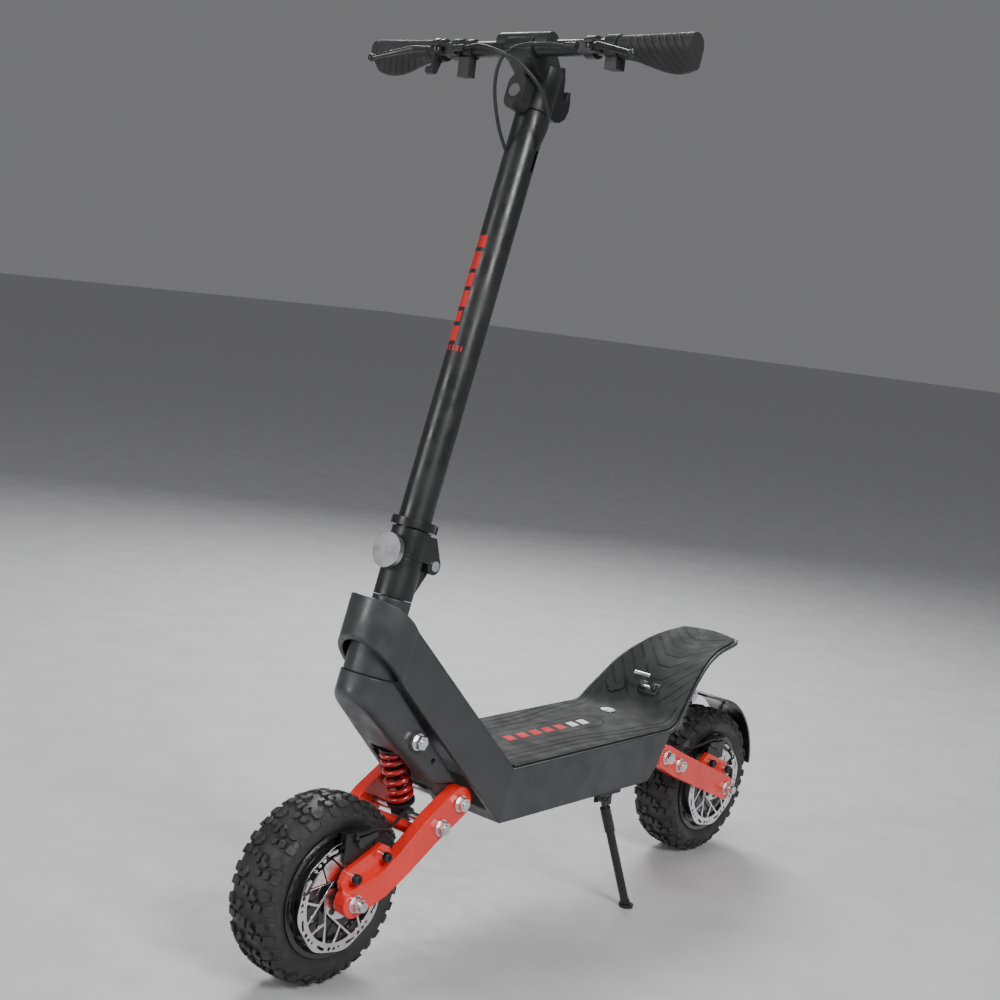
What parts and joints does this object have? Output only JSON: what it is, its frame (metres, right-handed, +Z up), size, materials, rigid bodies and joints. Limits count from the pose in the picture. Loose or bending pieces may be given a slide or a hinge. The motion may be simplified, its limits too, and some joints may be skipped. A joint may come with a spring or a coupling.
{
  "type": "electric kick scooter",
  "caption": "Folding off-road electric kick scooter with knobby tyres, red swing arms, coil-spring shocks, grooved deck with kick tail, side stand and a fold-down stem.",
  "frame": {"origin": "on the ground under the middle of the scooter's length and width", "axes": "+X forwards towards the front wheel, +Y to the rider's left, +Z up"},
  "size_m": [1.2159, 0.578, 1.3355],
  "materials": {
    "frame_paint": "satin fine-textured dark grey paint",
    "stem_paint": "satin black fine-textured paint",
    "mat_rubber": "matt grooved rubber",
    "cover_plastic": "moulded black",
    "battery_shell": "wrapped cell block",
    "controller_shell": "cast housing",
    "bearing_steel": "ground steel",
    "black_steel": "black satin coat",
    "lock_steel": "bright metal",
    "port_plastic": "moulded black",
    "zinc_fasteners": "bright zinc plate",
    "red_paint": "gloss bright red paint",
    "stator_iron": "laminated iron with windings",
    "cable_rubber": "black sheath",
    "tyre_rubber": "knobby off-road tread",
    "hub_paint": "gloss black paint",
    "disc_steel": "ground brake disc",
    "spring_paint": "gloss deep red paint",
    "fender_plastic": "glossy black",
    "lens_glass": "clear lens",
    "grip_rubber": "ribbed soft rubber",
    "lever_paint": "satin black",
    "button_plastic": "red button",
    "knob_steel": "radially brushed face"
  },
  "bodies": {
    "frame": {"main_frame": "frame_paint", "deck_mat": "mat_rubber", "bottom_cover": "cover_plastic", "battery_pack": "battery_shell", "motor_controller": "controller_shell", "headset_bearings": "bearing_steel", "kickstand_bracket": "black_steel", "key_lock": "lock_steel", "charge_port": "port_plastic", "rear_mount_bolts": "zinc_fasteners"},
    "fork": {"fork": "frame_paint", "lower_fold_casting": "stem_paint", "fork_bolts": "zinc_fasteners"},
    "front_arm": {"front_arm": "red_paint", "front_axle": "zinc_fasteners", "front_stator": "stator_iron", "front_calliper": "black_steel", "front_arm_bolts": "zinc_fasteners", "front_brake_cable": "cable_rubber"},
    "front_wheel": {"front_tyre": "tyre_rubber", "front_hub_motor": "hub_paint", "front_disc": "disc_steel"},
    "front_shock_body": {"front_shock_body": "black_steel", "front_shock_spring": "spring_paint"},
    "front_shock_rod": {"front_shock_rod": "black_steel"},
    "rear_arm": {"rear_arm": "red_paint", "rear_axle": "zinc_fasteners", "rear_stator": "stator_iron", "rear_calliper": "black_steel", "rear_arm_bolts": "zinc_fasteners", "rear_brake_cable": "cable_rubber", "rear_fender": "fender_plastic"},
    "rear_wheel": {"rear_tyre": "tyre_rubber", "rear_hub_motor": "hub_paint", "rear_disc": "disc_steel"},
    "rear_shock_body": {"rear_shock_body": "black_steel", "rear_shock_spring": "spring_paint"},
    "rear_shock_rod": {"rear_shock_rod": "black_steel"},
    "stem": {"upper_fold_casting": "stem_paint", "stem_clamp_ring": "black_steel", "stem_tube": "stem_paint", "head_block": "stem_paint", "handlebar": "stem_paint", "display": "cover_plastic", "headlight_housing": "cover_plastic", "headlight_lens": "lens_glass", "fold_hook": "black_steel", "grips": "grip_rubber", "control_clamps": "cover_plastic", "stem_cables": "cable_rubber"},
    "left_brake_lever": {"left_brake_lever": "lever_paint"},
    "right_brake_lever": {"right_brake_lever": "lever_paint"},
    "throttle_lever": {"throttle_lever": "cover_plastic"},
    "horn_button": {"horn_button": "button_plastic"},
    "fold_knob": {"fold_knob": "knob_steel"},
    "latch_bail": {"latch_bail": "lock_steel"},
    "kickstand": {"kickstand_leg": "black_steel"},
    "charge_cap": {"charge_cap": "mat_rubber"},
    "front_calliper_arm": {"front_calliper_arm": "lever_paint"},
    "rear_calliper_arm": {"rear_calliper_arm": "lever_paint"}
  },
  "joints": [
    {"name": "steering", "type": "hinge", "parent": "frame", "child": "fork", "pos_m": [0.447, 0, 0.3], "axis": [-0.2504, 0, 0.9681], "range_deg": [-30, 30]},
    {"name": "front_suspension", "type": "hinge", "parent": "fork", "child": "front_arm", "pos_m": [0.279, 0, 0.239], "axis": [0, -1, 0], "range_deg": [0, 10], "stiffness_Nm_per_rad": 300, "springref_deg": -9.74},
    {"name": "front_wheel_spin", "type": "hinge", "parent": "front_arm", "child": "front_wheel", "pos_m": [0.475, 0, 0.133], "axis": [0, 1, 0], "continuous": true},
    {"name": "front_shock_pivot", "type": "hinge", "parent": "fork", "child": "front_shock_body", "pos_m": [0.36, 0, 0.337], "axis": [0, -1, 0], "range_deg": [0, 1.2]},
    {"name": "front_shock_stroke", "type": "slide", "parent": "front_shock_body", "child": "front_shock_rod", "axis": [0.3274, 0, 0.9449], "range_m": [0, 0.0085], "deforming": ["front_shock_spring"]},
    {"name": "rear_suspension", "type": "hinge", "parent": "frame", "child": "rear_arm", "pos_m": [-0.254, 0, 0.224], "axis": [0, 1, 0], "range_deg": [0, 10], "stiffness_Nm_per_rad": 300, "springref_deg": -9.74},
    {"name": "rear_wheel_spin", "type": "hinge", "parent": "rear_arm", "child": "rear_wheel", "pos_m": [-0.466, 0, 0.133], "axis": [0, 1, 0], "continuous": true},
    {"name": "rear_shock_pivot", "type": "hinge", "parent": "frame", "child": "rear_shock_body", "pos_m": [-0.367, 0, 0.309], "axis": [0, -1, 0], "range_deg": [0, 1.2]},
    {"name": "rear_shock_stroke", "type": "slide", "parent": "rear_shock_body", "child": "rear_shock_rod", "axis": [-0.5511, 0, 0.8345], "range_m": [0, 0.0085], "deforming": ["rear_shock_spring"]},
    {"name": "stem_fold", "type": "hinge", "parent": "fork", "child": "stem", "pos_m": [0.33703, 0, 0.58143], "axis": [0, -1, 0], "range_deg": [0, 88]},
    {"name": "fold_knob_turn", "type": "hinge", "parent": "fork", "child": "fold_knob", "pos_m": [0.40477, 0, 0.60308], "axis": [0.9681, 0, 0.2504], "continuous": true},
    {"name": "latch_bail_swing", "type": "hinge", "parent": "frame", "child": "latch_bail", "pos_m": [-0.283, 0, 0.325], "axis": [0, 1, 0], "range_deg": [-50, 85]},
    {"name": "kickstand_fold", "type": "hinge", "parent": "frame", "child": "kickstand", "pos_m": [-0.062, 0.088, 0.19], "axis": [0, 1, 0], "range_deg": [0, 64]},
    {"name": "charge_cap_open", "type": "hinge", "parent": "frame", "child": "charge_cap", "pos_m": [-0.2591, -0.06024, 0.30643], "axis": [-0.1781, 0.9678, -0.1781], "range_deg": [0, 110]},
    {"name": "left_lever_pull", "type": "hinge", "parent": "stem", "child": "left_brake_lever", "pos_m": [0.27, 0.14, 1.308], "axis": [0, 0, 1], "range_deg": [0, 20], "stiffness_Nm_per_rad": 0.4, "springref_deg": -17.19},
    {"name": "right_lever_pull", "type": "hinge", "parent": "stem", "child": "right_brake_lever", "pos_m": [0.27, -0.14, 1.308], "axis": [0, 0, -1], "range_deg": [0, 20], "stiffness_Nm_per_rad": 0.4, "springref_deg": -17.19},
    {"name": "throttle_press", "type": "hinge", "parent": "stem", "child": "throttle_lever", "pos_m": [0.24, -0.153, 1.312], "axis": [0, -1, 0], "range_deg": [0, 25], "stiffness_Nm_per_rad": 0.2, "springref_deg": -17.19},
    {"name": "horn_press", "type": "slide", "parent": "stem", "child": "horn_button", "axis": [1, 0, 0], "range_m": [0, 0.002], "stiffness_N_per_m": 500, "springref_m": -0.001},
    {"name": "front_calliper_pull", "type": "hinge", "parent": "front_arm", "child": "front_calliper_arm", "pos_m": [0.457, 0.059, 0.211], "axis": [0, -1, 0], "range_deg": [0, 22]},
    {"name": "rear_calliper_pull", "type": "hinge", "parent": "rear_arm", "child": "rear_calliper_arm", "pos_m": [-0.448, 0.059, 0.211], "axis": [0, 1, 0], "range_deg": [0, 22]}
  ],
  "couplings": [
    {"joint": "front_shock_pivot", "follows": "front_suspension", "ratio": 0.0955},
    {"joint": "front_shock_stroke", "follows": "front_suspension", "m_per_rad": 0.0452},
    {"joint": "rear_shock_pivot", "follows": "rear_suspension", "ratio": 0.073},
    {"joint": "rear_shock_stroke", "follows": "rear_suspension", "m_per_rad": 0.0469},
    {"joint": "front_calliper_pull", "follows": "left_lever_pull", "ratio": 1},
    {"joint": "rear_calliper_pull", "follows": "right_lever_pull", "ratio": 1}
  ]
}
